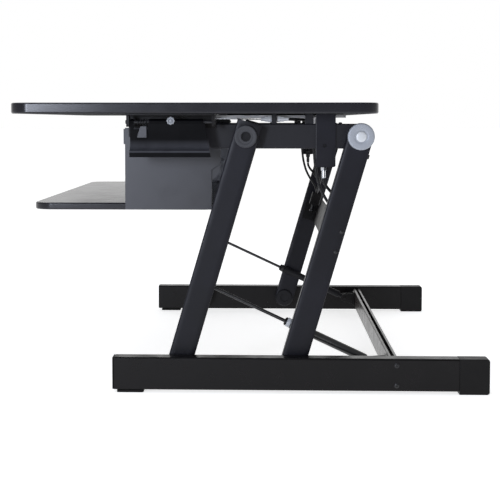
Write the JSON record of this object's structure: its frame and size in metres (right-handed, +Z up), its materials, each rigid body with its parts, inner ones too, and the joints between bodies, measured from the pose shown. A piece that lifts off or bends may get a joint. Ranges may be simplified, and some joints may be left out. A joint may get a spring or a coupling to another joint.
{
  "type": "standing desk converter",
  "caption": "Sit-stand desk converter: a desktop with a lower keyboard tray on parallel lift arms above two floor rails, with squeeze release handles and gas struts.",
  "frame": {"origin": "middle of the footprint on the surface the converter stands on, with the desk raised", "axes": "+X to the user's right, -Y towards the user, +Z up"},
  "size_m": [0.914, 0.796, 0.482],
  "materials": {
    "powder_coat": "satin black powder coat with fine grain",
    "laminate": "black laminate on board with a soft sheen",
    "black_plastic": "moulded, fine matt texture",
    "foot_rubber": "matt",
    "silver": "satin silver cover",
    "zinc": "zinc plated",
    "rod_steel": "dark polished steel",
    "cable_jacket": "smooth black jacket"
  },
  "bodies": {
    "base": {"base_rail_right": "powder_coat", "base_rail_left": "powder_coat", "front_end_cap_right": "black_plastic", "front_end_cap_left": "black_plastic", "rear_foot_right": "black_plastic", "rear_foot_left": "black_plastic", "front_foot_pad_right": "foot_rubber", "front_foot_pad_left": "foot_rubber", "rear_crossbar": "powder_coat", "strut_bracket_right": "powder_coat", "strut_bracket_left": "powder_coat", "front_base_pivot_right": "powder_coat", "front_base_pivot_left": "powder_coat", "rear_base_pivot_right": "powder_coat", "rear_base_pivot_left": "powder_coat"},
    "rear_arms": {"rear_arm_right": "powder_coat", "rear_arm_left": "powder_coat", "arm_cross_plate": "powder_coat", "rear_top_pivot_right": "silver", "rear_top_pivot_left": "silver", "latch_housing_right": "black_plastic", "latch_housing_left": "black_plastic"},
    "front_arms": {"front_arm_right": "powder_coat", "front_arm_left": "powder_coat", "front_top_pivot_right": "powder_coat", "front_top_pivot_left": "powder_coat"},
    "carriage": {"desktop": "laminate", "keyboard_tray": "laminate", "tie_plate": "zinc", "upper_rail_right": "powder_coat", "upper_rail_left": "powder_coat", "cable_bracket_right": "powder_coat", "cable_bracket_left": "powder_coat", "cable_adjuster_right": "zinc", "cable_adjuster_left": "zinc", "barrel_adjuster_right": "zinc", "barrel_adjuster_left": "zinc", "release_cable_right": "cable_jacket", "release_cable_left": "cable_jacket", "latch_cable_right": "cable_jacket", "latch_cable_left": "cable_jacket", "lock_quadrant_right": "zinc", "lock_quadrant_left": "zinc", "keyboard_bracket_right": "powder_coat", "keyboard_bracket_left": "powder_coat", "handle_mount_right": "powder_coat", "handle_mount_left": "powder_coat", "handle_hinge_pin_right": "zinc", "handle_hinge_pin_left": "zinc"},
    "lock_rod_right": {"lock_rod_right": "rod_steel"},
    "release_handle_right": {"release_handle_right": "black_plastic", "return_spring_right": "rod_steel"},
    "strut_cylinder_right": {"strut_cylinder_right": "powder_coat"},
    "strut_rod_right": {"strut_rod_right": "rod_steel"},
    "lock_rod_left": {"lock_rod_left": "rod_steel"},
    "release_handle_left": {"release_handle_left": "black_plastic", "return_spring_left": "rod_steel"},
    "strut_cylinder_left": {"strut_cylinder_left": "powder_coat"},
    "strut_rod_left": {"strut_rod_left": "rod_steel"}
  },
  "joints": [
    {"name": "lift", "type": "hinge", "parent": "base", "child": "rear_arms", "pos_m": [0, 0.0718, 0.037], "axis": [-1, 0, 0], "range_deg": [0, 59]},
    {"name": "front_lift", "type": "hinge", "parent": "base", "child": "front_arms", "pos_m": [0, -0.1196, 0.037], "axis": [-1, 0, 0], "range_deg": [0, 59]},
    {"name": "carriage_level", "type": "hinge", "parent": "rear_arms", "child": "carriage", "pos_m": [0, 0.18547, 0.42572], "axis": [-1, 0, 0], "range_deg": [-59, 0]},
    {"name": "strut_swing_right", "type": "hinge", "parent": "base", "child": "strut_cylinder_right", "pos_m": [0.3855, 0.212, 0.04], "axis": [1, 0, 0], "range_deg": [0, 15.04]},
    {"name": "strut_stroke_right", "type": "slide", "parent": "strut_cylinder_right", "child": "strut_rod_right", "axis": [0, 0.9063, -0.4226], "range_m": [0, 0.12636]},
    {"name": "handle_right", "type": "hinge", "parent": "carriage", "child": "release_handle_right", "pos_m": [0.434, -0.13, 0.45], "axis": [0, -1, 0], "range_deg": [0, 15], "stiffness_Nm_per_rad": 2, "springref_deg": -8.59},
    {"name": "lock_right", "type": "slide", "parent": "rear_arms", "child": "lock_rod_right", "axis": [0, -0.2807, -0.9598], "range_m": [0, 0.005], "stiffness_N_per_m": 100, "springref_m": -0.005},
    {"name": "strut_swing_left", "type": "hinge", "parent": "base", "child": "strut_cylinder_left", "pos_m": [-0.3855, 0.212, 0.04], "axis": [1, 0, 0], "range_deg": [0, 15.04]},
    {"name": "strut_stroke_left", "type": "slide", "parent": "strut_cylinder_left", "child": "strut_rod_left", "axis": [0, 0.9063, -0.4226], "range_m": [0, 0.12636]},
    {"name": "handle_left", "type": "hinge", "parent": "carriage", "child": "release_handle_left", "pos_m": [-0.434, -0.13, 0.45], "axis": [0, 1, 0], "range_deg": [0, 15], "stiffness_Nm_per_rad": 2, "springref_deg": -8.59},
    {"name": "lock_left", "type": "slide", "parent": "rear_arms", "child": "lock_rod_left", "axis": [0, -0.2807, -0.9598], "range_m": [0, 0.005], "stiffness_N_per_m": 100, "springref_m": -0.005}
  ],
  "couplings": [
    {"joint": "front_lift", "follows": "lift", "ratio": 1},
    {"joint": "carriage_level", "follows": "lift", "ratio": -1},
    {"joint": "strut_swing_right", "follows": "lift", "ratio": 0.25492},
    {"joint": "strut_stroke_right", "follows": "lift", "m_per_rad": 0.1227},
    {"joint": "lock_right", "follows": "handle_right", "m_per_rad": 0.019097},
    {"joint": "strut_swing_left", "follows": "lift", "ratio": 0.25492},
    {"joint": "strut_stroke_left", "follows": "lift", "m_per_rad": 0.1227},
    {"joint": "lock_left", "follows": "handle_left", "m_per_rad": 0.019097}
  ]
}
